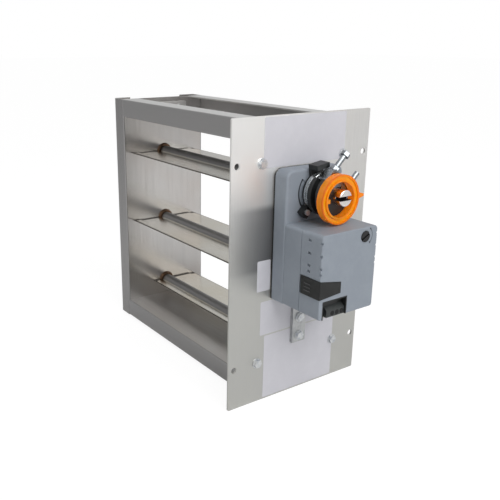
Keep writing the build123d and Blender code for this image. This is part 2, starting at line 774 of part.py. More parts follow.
# ---- end stop -------------------------------------------------------------------------------
with BuildPart() as end_stop:
    with BuildSketch(section(gear_end_x)):
        with Locations(stop_screw_place):
            Rectangle(stop_block_outer_radius - stop_block_inner_radius,
                      2 * stop_block_half_width, rotation=stop_block_angle)
    extrude(amount=stop_block_height)
    rod(gear_end_x, gear_end_x + stop_block_height, stop_screw_radius + fixed_clearance,
        *stop_screw_place, mode=Mode.SUBTRACT)
keep(end_stop, "end_stop")

with BuildPart() as end_stop_screw:
    rod(gear_end_x - housing_wall, gear_end_x + stop_block_height, stop_screw_radius,
        *stop_screw_place)
    rod(gear_end_x + stop_block_height, gear_end_x + stop_block_height + stop_screw_head_height,
        stop_screw_head_radius, *stop_screw_place)
keep(end_stop_screw, "end_stop_screw")


# ---- gear train -----------------------------------------------------------------------------
def tooth_half_angle(radius, module, teeth):
    """Half the angle that an involute tooth fills at the given radius."""
    pitch = module * teeth / 2
    base = pitch * cos(radians(pressure_angle))

    def involute(r):
        angle = acos(base / r)
        return tan(angle) - angle

    return ((pi * module / 2 - gear_backlash) / (2 * pitch)
            + involute(pitch) - involute(max(radius, base)))


def gear_points(module, teeth, first_angle, count):
    """Corner points, as (y, z) about the gear's centre, of count teeth from first_angle on."""
    pitch = module * teeth / 2
    root = pitch - gear_dedendum * module
    tip = pitch + gear_addendum * module
    radii = [root, (root + pitch) / 2, pitch, tip]
    points = []
    for i in range(count):
        centre = radians(first_angle) + 2 * pi * i / teeth
        flank = [(r, tooth_half_angle(r, module, teeth)) for r in radii]
        points += [(r * cos(centre - h), r * sin(centre - h)) for r, h in flank]
        points += [(r * cos(centre + h), r * sin(centre + h)) for r, h in reversed(flank)]
    return points


def gear(x, z, width, module, teeth, first_angle):
    """Whole spur gear on the shaft line y = 0 at height z, drawn into the open part."""
    with BuildSketch(section(x)) as outline:
        with BuildLine():
            Polyline(*[(y, z + up) for y, up in gear_points(module, teeth, first_angle, teeth)],
                     close=True)
        make_face()
    extrude(outline.sketch, amount=width)


with BuildPart() as idler_axle:
    rod(gear_start_x, gear_end_x - housing_wall, idler_axle_radius, z=idler_z)
keep(idler_axle, "idler_axle")

with BuildPart() as idler_gear:
    gear(plate_x + output_gear_start, idler_z, idler_wheel_start - output_gear_start,
         output_module, idler_pinion_teeth, 90 + 180 / idler_pinion_teeth)
    gear(plate_x + idler_wheel_start, idler_z, idler_wheel_width, idler_module,
         idler_wheel_teeth, -90)
    rod(plate_x + output_gear_start, plate_x + idler_wheel_start + idler_wheel_width,
        idler_axle_radius + running_clearance, z=idler_z, mode=Mode.SUBTRACT)
keep(idler_gear, "idler_gear")

with BuildPart() as motor_pinion:
    gear(plate_x + idler_wheel_start, motor_z, idler_wheel_width, idler_module, motor_teeth,
         90 + 180 / motor_teeth)
    rod(plate_x + idler_wheel_start, gear_end_x + motor_shaft_reach, motor_shaft_radius,
        z=motor_z)
keep(motor_pinion, "motor_pinion")

with BuildPart() as drive_motor:
    rod(gear_end_x, gear_end_x + motor_length, motor_radius, z=motor_z)
    rod(gear_end_x, gear_end_x + motor_shaft_reach + side_gap,
        motor_shaft_radius + running_clearance, z=motor_z, mode=Mode.SUBTRACT)
keep(drive_motor, "drive_motor")

with BuildPart() as circuit_board:
    block((board_x, board_x + board_thickness),
          (actuator_left + housing_wall + board_margin,
           actuator_left + actuator_width - housing_wall - board_margin),
          (actuator_bottom + board_above_foot, box_top - housing_wall - board_margin))
keep(circuit_board, "circuit_board")

# ---- drive sleeve and clamp -----------------------------------------------------------------
sector_teeth = int((sector_end_angle - sector_start_angle) * output_teeth / 360) + 1

with BuildPart() as drive_sleeve:
    rod(plate_x + sleeve_start, clamp_body_x, sleeve_radius, z=top_shaft_z)
    rod(plate_x + output_gear_start, plate_x + output_gear_start + output_gear_width,
        sector_hub_radius, z=top_shaft_z)
    with BuildSketch(section(plate_x + output_gear_start)):
        with BuildLine():
            rim = gear_points(output_module, output_teeth,
                              -90 - 360 / output_teeth * round((-90 - sector_start_angle)
                                                               * output_teeth / 360),
                              sector_teeth)
            Polyline((0, top_shaft_z), *[(y, top_shaft_z + up) for y, up in rim], close=True)
        make_face()
    extrude(amount=output_gear_width)
    rod(plate_x + sleeve_start, clamp_body_x, spindle_radius + fixed_clearance, z=top_shaft_z,
        mode=Mode.SUBTRACT)
keep(drive_sleeve, "drive_sleeve")

with BuildPart() as stop_cam:
    finger_plane = Plane(origin=(plate_x + stop_ring_start, 0, top_shaft_z), z_dir=(1, 0, 0),
                         x_dir=(0, cos(radians(stop_finger_angle)),
                                sin(radians(stop_finger_angle))))
    finger_inner = stop_finger_outer_radius - stop_finger_thickness
    with BuildSketch(finger_plane):
        Circle(stop_ring_radius)
        with Locations((stop_finger_outer_radius / 2, 0)):
            Rectangle(stop_finger_outer_radius, 2 * stop_finger_half_width)
        Circle(sleeve_radius + fixed_clearance, mode=Mode.SUBTRACT)
    extrude(amount=stop_ring_thickness)
    with BuildSketch(finger_plane):
        with Locations(((finger_inner + stop_finger_outer_radius) / 2, 0)):
            Rectangle(stop_finger_thickness, 2 * stop_finger_half_width)
    extrude(amount=stop_finger_length)
keep(stop_cam, "stop_cam")

with BuildPart() as clamp_disc:
    rod(clamp_disc_x, clamp_body_x, clamp_disc_radius, z=top_shaft_z)
    chamfer(clamp_disc.edges().filter_by(GeomType.CIRCLE), clamp_rim_chamfer)
    with BuildSketch(section(clamp_disc_x + (clamp_disc_thickness - clamp_rim_groove_width) / 2)):
        with Locations((0, top_shaft_z)):
            Circle(clamp_disc_radius)
            Circle(clamp_disc_radius - clamp_rim_groove_depth, mode=Mode.SUBTRACT)
    extrude(amount=clamp_rim_groove_width, mode=Mode.SUBTRACT)
    rod(clamp_disc_x, clamp_body_x, sleeve_radius + fixed_clearance, z=top_shaft_z,
        mode=Mode.SUBTRACT)
keep(clamp_disc, "clamp_disc")


def clamp_section(x):
    """Plane across the spindle at x whose own x runs along the clamp's pull."""
    angle = radians(clamp_direction)
    return Plane(origin=(x, 0, top_shaft_z), x_dir=(0, cos(angle), sin(angle)), z_dir=(1, 0, 0))


def leg_plane(along, offset):
    """Plane across one leg of the U-bolt, facing along the clamp's pull."""
    plane = clamp_section(bolt_x)
    return Plane(origin=plane.from_local_coords((along, offset, 0)), x_dir=(1, 0, 0),
                 z_dir=plane.x_dir)


with BuildPart() as clamp_body:
    with BuildSketch(clamp_section(clamp_body_x)):
        Circle(clamp_body_radius)
        Circle(spindle_radius + fixed_clearance, mode=Mode.SUBTRACT)
        with Locations((jaw_start - jaw_gap + clamp_body_radius, 0)):
            Rectangle(2 * clamp_body_radius, 2 * clamp_body_radius, mode=Mode.SUBTRACT)
    extrude(amount=clamp_body_length)
    with BuildSketch(clamp_section(bolt_x - bolt_rod_radius - bolt_clearance)):
        Circle(clamp_body_radius)
        with Locations((bolt_bend_centre, 0)):
            Circle(bolt_leg_offset - bolt_rod_radius - bolt_clearance, mode=Mode.SUBTRACT)
    extrude(amount=2 * (bolt_rod_radius + bolt_clearance), mode=Mode.SUBTRACT)
keep(clamp_body, "clamp_body")

with BuildPart() as clamp_jaw:
    with BuildSketch(clamp_section(clamp_body_x + jaw_level)):
        Circle(jaw_radius)
        with Locations(((jaw_start + jaw_seat) / 2, 0)):
            Rectangle(jaw_seat - jaw_start, 2 * jaw_half_width, mode=Mode.INTERSECT)
        with Locations((spindle_radius * sqrt(2) - spindle_radius * 2, 0)):
            Rectangle(spindle_radius * 2 * sqrt(2), spindle_radius * 2 * sqrt(2), rotation=45,
                      mode=Mode.SUBTRACT)
    extrude(amount=jaw_thickness)
    for offset in (-bolt_leg_offset, bolt_leg_offset):
        with BuildSketch(leg_plane(jaw_start, offset)) as leg_hole:
            Circle(bolt_rod_radius + bolt_clearance)
        extrude(leg_hole.sketch, amount=jaw_seat - jaw_start, mode=Mode.SUBTRACT)
keep(clamp_jaw, "clamp_jaw")

with BuildPart() as u_bolt:
    with BuildLine(clamp_section(bolt_x)) as bolt_path:
        Line((bolt_leg_reaches[0], bolt_leg_offset), (bolt_bend_centre, bolt_leg_offset))
        ThreePointArc((bolt_bend_centre, bolt_leg_offset),
                      (bolt_bend_centre - bolt_leg_offset, 0),
                      (bolt_bend_centre, -bolt_leg_offset))
        Line((bolt_bend_centre, -bolt_leg_offset), (bolt_leg_reaches[1], -bolt_leg_offset))
    with BuildSketch(leg_plane(bolt_leg_reaches[0], bolt_leg_offset)):
        Circle(bolt_rod_radius)
    sweep()
keep(u_bolt, "u_bolt")

with BuildPart() as clamp_nuts:
    for along, offset in ((jaw_seat, bolt_leg_offset), (jaw_seat, -bolt_leg_offset),
                          (bolt_leg_reaches[0] - nut_height, bolt_leg_offset)):
        with BuildSketch(leg_plane(along, offset)):
            RegularPolygon(nut_across_flats / 2, 6, major_radius=False)
            Circle(bolt_rod_radius + fixed_clearance, mode=Mode.SUBTRACT)
        extrude(amount=nut_height)
keep(clamp_nuts, "clamp_nuts")

with BuildPart() as indicator_ring:
    rod(ring_x, ring_x + ring_width, ring_radius, z=ring_z)
    with BuildSketch(section(ring_x)):
        with BuildLine():
            Polyline((0, ring_z + ring_pointer_half_width),
                     (ring_radius, ring_z + ring_pointer_half_width),
                     (ring_pointer_reach, ring_z + ring_pointer_tip),
                     (ring_pointer_reach, ring_z - ring_pointer_tip),
                     (ring_radius, ring_z - ring_pointer_half_width),
                     (0, ring_z - ring_pointer_half_width), close=True)
        make_face()
    extrude(amount=ring_width / 2)
    rod(ring_x, ring_x + ring_width, ring_bore_radius, z=ring_z, mode=Mode.SUBTRACT)
    rod(ring_x + ring_width - ring_recess, ring_x + ring_width, ring_radius - ring_rim, z=ring_z,
        mode=Mode.SUBTRACT)
    with BuildSketch(section(ring_x + ring_width - ring_recess)):
        with Locations((0, ring_z)):
            Circle(ring_bore_radius + ring_rim)
            Circle(ring_bore_radius, mode=Mode.SUBTRACT)
    extrude(amount=ring_recess)
    block((ring_x, ring_x + ring_width), (-ring_bore_radius - ring_rim, -ring_nub_reach),
          (ring_z - ring_nub_half_width, ring_z + ring_nub_half_width))
keep(indicator_ring, "indicator_ring")
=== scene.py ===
"""Volume control damper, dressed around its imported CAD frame: rolled sheet, moulded housing,
plated clamp and translucent ring finishes, blank labels, a terminal row, dial marks and a
plain pale studio."""

import json
from math import radians

import bpy
import numpy as np
from bpy.props import FloatProperty, FloatVectorProperty, PointerProperty
from mathutils import Euler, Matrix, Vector

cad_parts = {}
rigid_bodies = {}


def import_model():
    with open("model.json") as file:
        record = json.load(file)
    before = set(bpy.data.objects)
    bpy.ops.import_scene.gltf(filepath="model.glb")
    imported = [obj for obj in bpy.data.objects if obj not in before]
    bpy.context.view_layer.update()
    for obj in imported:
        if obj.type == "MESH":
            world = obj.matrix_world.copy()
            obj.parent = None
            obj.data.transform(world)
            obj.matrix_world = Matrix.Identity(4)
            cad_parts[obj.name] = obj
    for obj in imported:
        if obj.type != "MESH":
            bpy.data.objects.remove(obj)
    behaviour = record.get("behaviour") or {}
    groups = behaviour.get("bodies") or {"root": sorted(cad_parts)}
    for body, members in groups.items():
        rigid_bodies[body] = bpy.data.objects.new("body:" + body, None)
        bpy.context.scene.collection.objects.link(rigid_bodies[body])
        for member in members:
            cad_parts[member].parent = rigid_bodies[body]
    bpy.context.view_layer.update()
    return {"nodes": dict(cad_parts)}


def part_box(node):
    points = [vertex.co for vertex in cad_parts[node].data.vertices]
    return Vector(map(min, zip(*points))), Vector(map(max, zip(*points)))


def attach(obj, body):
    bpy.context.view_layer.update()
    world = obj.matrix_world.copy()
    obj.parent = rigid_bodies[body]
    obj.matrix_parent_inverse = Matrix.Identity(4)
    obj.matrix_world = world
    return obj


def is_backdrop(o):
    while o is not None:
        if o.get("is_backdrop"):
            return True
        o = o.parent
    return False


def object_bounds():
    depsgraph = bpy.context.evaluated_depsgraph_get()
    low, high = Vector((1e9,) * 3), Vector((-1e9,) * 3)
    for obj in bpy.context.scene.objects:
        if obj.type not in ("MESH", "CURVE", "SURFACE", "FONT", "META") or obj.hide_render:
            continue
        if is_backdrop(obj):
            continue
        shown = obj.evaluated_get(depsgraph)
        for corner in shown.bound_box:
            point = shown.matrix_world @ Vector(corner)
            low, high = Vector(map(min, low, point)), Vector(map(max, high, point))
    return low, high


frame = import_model()

bl_info = {
    "name": "Volume control damper",
    "version": (1, 0, 0),
    "blender": (4, 5, 0),
    "location": "View3D > Sidebar > Damper",
    "description": "Dresses the packed damper with finishes, labels and a studio",
    "category": "Object",
}

MM = 0.001
NODES = frame["nodes"]
X_AXIS, Y_AXIS, Z_AXIS = (1, 0, 0), (0, 1, 0), (0, 0, 1)
UPRIGHT, ACROSS = (1, 1, 0.03), (0.03, 1, 1)      # how rolling streaks are stretched

# Label name, its limits along Y and its limits along Z, in millimetres.
LABELS = (("top_label", (-52, 56), (101, 150)), ("side_label", (-56.5, -39.5), (-26, 7)),
          ("lower_label", (-51, 50), (-75.5, -38)), ("foot_label", (-45, 54.7), (-149.5, -77)))
CORNER_STEPS, MOUTH_STEPS, ARC_STEPS = 32, 24, 17     # points round a label, a mouth and the arc
MOUTHS = 3

# Camera place in metres, its turns in degrees (tilt down, roll, azimuth) and its lens shift.
CAMERA_PLACE = (0.6393, -0.4539, 0.2213)
CAMERA_TILT, CAMERA_ROLL, CAMERA_AZIMUTH = 17.35, -0.16, 55.68
CAMERA_SHIFT = (0.0872, -0.010)
SENSOR_WIDTH = 36.0
KEY_PLACE, KEY_SIZE = (1.15, -0.10, 0.98), 1.1
FILL_PLACE, FILL_SIZE = (0.1, -1.6, 0.2), 1.4
LIGHTS_AIM = (0.05, 0.0, 0.0)
FLOOR_HALF, FLOOR_GAP = 12.0, 0.0005                  # metres
FLOOR_GLOW, FLOOR_SHARE = 1.12, 0.82                  # how white the floor is to the camera
GLOW_DIRECTION = (0.55, 0.30, 0.78)                   # side from which the world reflects more
GLOW_SPREAD, GLOW_LEAST = 0.7, 0.25                   # how fast that falls off, and to what

# What every finish group gives.
SURFACE_OUTPUTS = (("Colour", "NodeSocketColor"), ("Roughness", "NodeSocketFloat"),
                   ("Normal", "NodeSocketVector"))


# ---- sizes and colours that a user would change ----------------------------------------------
def colour(name, description, value):
    """Colour property with three linear channels."""
    return FloatVectorProperty(name=name, description=description, subtype="COLOR", size=3,
                               min=0.0, max=1.0, default=value)


def length(name, description, millimetres):
    """Length property in metres, written in millimetres."""
    return FloatProperty(name=name, description=description, subtype="DISTANCE", unit="LENGTH",
                         default=millimetres * MM)


class DamperFinishes(bpy.types.PropertyGroup):
    """Colours of the damper's finishes, and of the painted shade and highlights over them."""
    sheet: colour("Frame sheet", "Rolled sheet of the four channels", (0.66, 0.65, 0.64))
    # Painted shade: the upright front and rear faces of the channels are painted darker.
    web_shade: colour("Frame webs", "Duller upright faces in front and behind", (0.36, 0.355, 0.355))
    # Painted highlight: the flat lips along the top are painted lighter.
    lip_highlight: colour("Frame lips", "Bright flat lips along the top", (0.70, 0.70, 0.69))
    # Painted light: the far channel's inner face is a brighter copy of the frame sheet.
    wall: colour("Duct wall", "Bright inner face of the far channel", (0.71, 0.695, 0.68))
    plate: colour("Cover plate", "Sheet of the tall cover plate", (0.80, 0.79, 0.77))
    blade: colour("Blades", "Bright rolled sheet of the blades", (0.73, 0.715, 0.665))
    # Painted shade: the blades' edges and ends are painted dark where they lie in shadow and in
    # the gaps by the walls.
    edge_shade: colour("Cut edges", "Dull cut edges of the blades", (0.085, 0.075, 0.062))
    zinc: colour("Zinc plating", "Screws, disc and steel fittings", (0.70, 0.71, 0.71))
    bronze: colour("Bushes", "Oiled bronze of the bushes", (0.19, 0.115, 0.07))
    housing: colour("Housing", "Grey moulded actuator housing", (0.255, 0.286, 0.328))
    black: colour("Black plastic", "Button, drum, stops and back plate", (0.008, 0.009, 0.009))
    orange: colour("Indicator ring", "Translucent orange of the ring", (1.0, 0.33, 0.003))
    label: colour("Labels", "Blank pale labels", (0.60, 0.595, 0.635))
    # Painted highlight: the plate's upper corner is painted paler.
    plate_highlight: colour("Pale plate", "Pale upper corner of the plate", (0.97, 0.96, 0.94))
    # Painted shade: the plate is painted darker towards the bottom.
    plate_lower_shade: colour("Dull plate", "Duller lower part of the plate", (0.50, 0.50, 0.475))
    # Painted reflection: the dark patch beside the actuator is its painted dark reflection.
    plate_reflection: colour("Dark plate", "Dark patch beside the actuator", (0.10, 0.10, 0.11))
    # Painted reflection: the half-round seats are painted dark as their dark reflection.
    seat_reflection: colour("Blade seats", "Dull half-round seats of the blades", (0.25, 0.25, 0.255))
    groove: colour("Groove", "Shadow in the housing's arc groove", (0.012, 0.013, 0.016))
    ribs: colour("Ribs", "Worn tops of the button's ribs", (0.08, 0.08, 0.083))
    knob: colour("Knob", "Direction knob", (0.004, 0.004, 0.0045))
    slot: colour("Spindle slot", "Shadow in the spindle's slot", (0.012, 0.012, 0.014))
    spindle: colour("Spindle", "Turned end of the top shaft", (0.93, 0.90, 0.88))
    rod: colour("Rod", "U-bolt, jaw and nuts", (0.32, 0.34, 0.35))
    strap: colour("Strap", "Strap under the actuator", (0.50, 0.51, 0.51))
    ring_pale: colour("Pale ring", "Lighter hoop on the ring's face", (1.0, 0.52, 0.012))
    ring_deep: colour("Deep ring", "Deeper rim of the ring", (0.85, 0.15, 0.001))
    terminal: colour("Terminals", "Terminal row", (0.022, 0.026, 0.026))
    ink: colour("Ink", "Printed arc", (0.015, 0.016, 0.018))


class DamperLabels(bpy.types.PropertyGroup):
    """Sizes of the blank labels on the cover plate."""
    thickness: length("Thickness", "How far a label stands off the plate", 0.12)
    corner: length("Corner", "Corner radius of a label", 1.5)


class DamperTrim(bpy.types.PropertyGroup):
    """Sizes of the terminal row and of the printed marks on the front cover."""
    row_width: length("Row width", "Width of the terminal row", 24.0)
    row_margin: length("Row margin", "Recess wall beside the terminal row", 1.3)
    row_setback: length("Row setback", "How far the row's front lies inside the recess", 1.6)
    row_back: length("Row back", "How far the row's back lies inside the recess", 6.05)
    row_foot: length("Row foot", "Height of the row's foot in the recess", 0.4)
    row_shelf: length("Row shelf", "Height at which the row's front ends", 7.4)
    row_top: length("Row top", "Height of the row's back edge", 11.0)
    first: length("First mouth", "Distance of the first mouth from the row's end", 3.6)
    pitch: length("Pitch", "Distance between terminal mouths", 6.2)
    mouth: length("Mouth radius", "Radius of a terminal mouth", 2.5)
    mouth_height: length("Mouth height", "Height of the mouths above the foot", 3.4)
    mouth_sink: length("Mouth sink", "How far a mouth starts inside the row", 0.3)
    mouth_proud: length("Mouth proud", "How far a mouth stands off the row", 0.06)
    dial: length("Dial radius", "Radius of the printed arc round the knob", 9.6)
    line: length("Line", "Width of the printed arc", 0.55)
    head: length("Arrowhead", "Half width of an arrowhead", 1.1)
    ink: length("Ink", "How far the print stands off the cover", 0.05)
    ink_sink: length("Ink sink", "How far the print starts inside the cover", 0.02)
    sweep: FloatProperty(name="Sweep", description="Half the printed arc's angle in degrees",
                         default=42.0)


class DamperStudio(bpy.types.PropertyGroup):
    """Camera and lights of the studio."""
    lens: FloatProperty(name="Lens", description="Focal length of the camera in millimetres",
                        subtype="DISTANCE_CAMERA", default=47.77)
    key_power: FloatProperty(name="Key light", description="Power of the large soft light",
                             subtype="POWER", default=13.0)
    fill_power: FloatProperty(name="Fill light", description="Power of the front fill light",
                              subtype="POWER", default=1.2)
    world_level: FloatProperty(name="World light", description="Strength of the pale world",
                               default=0.42)


# ---- node helpers -----------------------------------------------------------------------------
def new_group(name, inputs, outputs):
    """Shader node group with named sockets, returned with its input and output nodes."""
    group = bpy.data.node_groups.new(name, "ShaderNodeTree")
    for socket, kind, default in inputs:
        made = group.interface.new_socket(socket, in_out="INPUT", socket_type=kind)
        made.default_value = default
    for socket, kind in outputs:
        group.interface.new_socket(socket, in_out="OUTPUT", socket_type=kind)
    return group, group.nodes.new("NodeGroupInput"), group.nodes.new("NodeGroupOutput")


def add_node(tree, kind, settings=(), inputs=()):
    """Adds a node, sets its properties, and sets or links its inputs."""
    node = tree.nodes.new(kind)
    for key, value in dict(settings).items():
        setattr(node, key, value)
    for key, value in dict(inputs).items():
        if isinstance(value, bpy.types.NodeSocket):
            tree.links.new(value, node.inputs[key])
        else:
            node.inputs[key].default_value = value
    return node


def mix_colours(tree, factor, first, second, blend="MIX"):
    """Colour mix node; returns its result socket."""
    node = add_node(tree, "ShaderNodeMix", {"data_type": "RGBA", "blend_type": blend},
                    {0: factor, 6: first, 7: second})
    return node.outputs[2]


def math_node(tree, operation, *values):
    """Math node; returns its value socket."""
    return add_node(tree, "ShaderNodeMath", {"operation": operation},
                    dict(enumerate(values))).outputs[0]


def ramp(tree, factor, low, high):
    """Maps factor from low..high to 0..1, clamped."""
    return add_node(tree, "ShaderNodeMapRange", {"clamp": True},
                    {0: factor, 1: low, 2: high}).outputs[0]


def noise(tree, vector, scale, detail, rough):
    """Noise texture; returns its factor socket."""
    return add_node(tree, "ShaderNodeTexNoise", {}, {"Vector": vector, "Scale": scale,
                                                     "Detail": detail, "Roughness": rough}
                    ).outputs["Fac"]


# ---- shared effects ---------------------------------------------------------------------------
def end_finish(group, source, sink, shown, uneven, swing, height, depth):
    """Ends a finish group with its colour, its roughness raised and lowered by an uneven
    pattern, and the normal of a height pattern with a depth in metres."""
    centred = math_node(group, "SUBTRACT", uneven, 0.5)
    rough = math_node(group, "ADD", source.outputs["Roughness"],
                      math_node(group, "MULTIPLY", centred, swing))
    bump = add_node(group, "ShaderNodeBump", {}, {"Strength": source.outputs["Bump"],
                                                  "Distance": depth, "Height": height})
    for name, value in (("Colour", shown), ("Roughness", rough), ("Normal", bump.outputs[0])):
        group.links.new(value, sink.inputs[name])


def rolled_grain_group():
    """Rolling streaks along one axis plus broad blotches: colour, roughness and normal."""
    group, source, sink = new_group(
        "Rolled grain",
        [("Colour", "NodeSocketColor", (0.6, 0.6, 0.6, 1)),
         ("Tint", "NodeSocketColor", (0.6, 0.55, 0.5, 1)),
         ("Stretch", "NodeSocketVector", (1, 1, 1)),
         ("Streaks", "NodeSocketFloat", 0.3),
         ("Roughness", "NodeSocketFloat", 0.4),
         ("Bump", "NodeSocketFloat", 0.2)],
        SURFACE_OUTPUTS)
    place = add_node(group, "ShaderNodeTexCoord").outputs["Object"]
    stretched = add_node(group, "ShaderNodeVectorMath", {"operation": "MULTIPLY"},
                         {0: place, 1: source.outputs["Stretch"]}).outputs[0]
    fine = noise(group, stretched, scale=900.0, detail=4.0, rough=0.65)
    middle = noise(group, stretched, scale=160.0, detail=3.0, rough=0.6)
    broad = noise(group, place, scale=14.0, detail=2.0, rough=0.5)
    streak = math_node(group, "ADD", math_node(group, "MULTIPLY", fine, 0.6),
                       math_node(group, "MULTIPLY", middle, 0.4))
    dark = mix_colours(group, 1.0, source.outputs["Colour"], (0.72, 0.72, 0.73, 1),
                       blend="MULTIPLY")
    amount = math_node(group, "MULTIPLY", ramp(group, streak, low=0.35, high=0.68),
                       source.outputs["Streaks"])
    streaked = mix_colours(group, amount, source.outputs["Colour"], dark)
    blotch = math_node(group, "MULTIPLY", ramp(group, broad, low=0.4, high=0.7), 0.6)
    tinted = mix_colours(group, blotch, streaked, source.outputs["Tint"])
    end_finish(group, source, sink, tinted, uneven=streak, swing=0.25, height=streak,
               depth=0.2 * MM)


def band_mask_group():
    """1 where a point's distance from a centre, measured along the chosen axes only, is within
    a half width of a radius, falling off softly beside it."""
    group, source, sink = new_group(
        "Band mask",
        [("Axes", "NodeSocketVector", (0, 0, 1)),
         ("Centre", "NodeSocketVector", (0, 0, 0)),
         ("Radius", "NodeSocketFloat", 0.0),
         ("Half width", "NodeSocketFloat", 0.01),
         ("Softness", "NodeSocketFloat", 0.01)],
        [("Mask", "NodeSocketFloat")])
    place = add_node(group, "ShaderNodeTexCoord").outputs["Object"]
    offset = add_node(group, "ShaderNodeVectorMath", {"operation": "SUBTRACT"},
                      {0: place, 1: source.outputs["Centre"]}).outputs[0]
    along = add_node(group, "ShaderNodeVectorMath", {"operation": "MULTIPLY"},
                     {0: offset, 1: source.outputs["Axes"]}).outputs[0]
    distance = add_node(group, "ShaderNodeVectorMath", {"operation": "LENGTH"},
                        {0: along}).outputs["Value"]
    away = math_node(group, "ABSOLUTE",
                     math_node(group, "SUBTRACT", distance, source.outputs["Radius"]))
    edge = math_node(group, "ADD", source.outputs["Half width"], source.outputs["Softness"])
    mask = add_node(group, "ShaderNodeMapRange",
                    {"clamp": True, "interpolation_type": "SMOOTHSTEP"},
                    {0: away, 1: source.outputs["Half width"], 2: edge, 3: 1.0, 4: 0.0}
                    ).outputs[0]
    group.links.new(mask, sink.inputs["Mask"])


def moulded_skin_group():
    """Fine spark-eroded texture of moulded plastic with faint scuffs: colour, roughness and
    normal."""
    group, source, sink = new_group(
        "Moulded skin",
        [("Colour", "NodeSocketColor", (0.3, 0.3, 0.3, 1)),
         ("Grain", "NodeSocketFloat", 2400.0),
         ("Roughness", "NodeSocketFloat", 0.5),
         ("Scuff", "NodeSocketFloat", 1.0),
         ("Bump", "NodeSocketFloat", 0.3)],
        SURFACE_OUTPUTS)
    place = add_node(group, "ShaderNodeTexCoord").outputs["Object"]
    grain = noise(group, place, source.outputs["Grain"], detail=2.0, rough=0.6)
    scuff = noise(group, place, scale=60.0, detail=5.0, rough=0.7)
    pale = mix_colours(group, 1.0, source.outputs["Colour"], (0.035, 0.035, 0.035, 1),
                       blend="ADD")
    worn = math_node(group, "MULTIPLY", ramp(group, scuff, low=0.45, high=0.8),
                     source.outputs["Scuff"])
    shade = mix_colours(group, worn, source.outputs["Colour"], pale)
    end_finish(group, source, sink, shade, uneven=scuff, swing=0.3, height=grain,
               depth=0.1 * MM)


def plated_bloom_group():
    """Cloudy plating with blotches of brightness and fine pitting: colour, roughness, normal."""
    group, source, sink = new_group(
        "Plated bloom",
        [("Colour", "NodeSocketColor", (0.6, 0.6, 0.6, 1)),
         ("Stain", "NodeSocketColor", (0.4, 0.4, 0.4, 1)),
         ("Size", "NodeSocketFloat", 220.0),
         ("Roughness", "NodeSocketFloat", 0.3),
         ("Bump", "NodeSocketFloat", 0.2)],
        SURFACE_OUTPUTS)
    place = add_node(group, "ShaderNodeTexCoord").outputs["Object"]
    cloud = noise(group, place, source.outputs["Size"], detail=4.0, rough=0.6)
    pits = noise(group, place, scale=1500.0, detail=2.0, rough=0.5)
    stained = mix_colours(group, ramp(group, cloud, low=0.42, high=0.72),
                          source.outputs["Colour"], source.outputs["Stain"])
    end_finish(group, source, sink, stained, uneven=cloud, swing=0.35, height=pits,
               depth=0.1 * MM)


def band(axis, centre, half, soft):
    """Flat band across one axis, centred at a distance along it."""
    return {"Axes": axis, "Centre": [centre * part for part in axis], "Half width": half,
            "Softness": soft}


def hoop(centre, radius, half, soft):
    """Ring-shaped band round a line along X through the centre."""
    return {"Axes": (0, 1, 1), "Centre": centre, "Radius": radius, "Half width": half,
            "Softness": soft}


def zone(tint, bands, share, gloss=None):
    """Common part of some bands, with its own colour and, if one is given, roughness."""
    return tint, bands, share, gloss


def zone_mask(tree, bands, share):
    """Product of band masks and a share."""
    mask = share
    for values in bands:
        inside = add_node(tree, "ShaderNodeGroup",
                          {"node_tree": bpy.data.node_groups["Band mask"]}, values)
        mask = math_node(tree, "MULTIPLY", inside.outputs["Mask"], mask)
    return mask


def opaque(value):
    """Colour property as four channels."""
    return (*value, 1.0)


def finished(name, group, values, surface=(), zones=()):
    """Material whose Principled shader takes colour, roughness and normal from a shared group,
    with zones laid over the colour and the roughness one after another."""
    material = bpy.data.materials.new(name)
    material.use_nodes = True
    tree = material.node_tree
    shader = tree.nodes["Principled BSDF"]
    effect = add_node(tree, "ShaderNodeGroup", {"node_tree": group}, values)
    shown, rough = effect.outputs["Colour"], effect.outputs["Roughness"]
    for tint, bands, share, gloss in zones:
        mask = zone_mask(tree, bands, share)
        shown = mix_colours(tree, mask, shown, opaque(tint))
        if gloss is not None:
            rough = add_node(tree, "ShaderNodeMix", {"data_type": "FLOAT"},
                             {0: mask, 2: rough, 3: gloss}).outputs[0]
    tree.links.new(shown, shader.inputs["Base Color"])
    tree.links.new(rough, shader.inputs["Roughness"])
    tree.links.new(effect.outputs["Normal"], shader.inputs["Normal"])
    for key, value in dict(surface).items():
        shader.inputs[key].default_value = value
    return material


def dress(material, *names):
    """Gives CAD nodes their finish."""
    for name in names:
        slots = NODES[name].data.materials
        slots.clear()
        slots.append(material)


def shaft_centre():
    """Middle of the top shaft, on the axis that the clamp, ring and groove are centred on."""
    low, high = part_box("top_shaft")
    return (low + high) / 2


# ---- operators: finishes ----------------------------------------------------------------------
def finish_values(context):
    """The colours and the shared groups, made once."""
    if "Rolled grain" not in bpy.data.node_groups:
        rolled_grain_group()
        moulded_skin_group()
        plated_bloom_group()
        band_mask_group()
    return context.scene.damper_finishes, bpy.data.node_groups


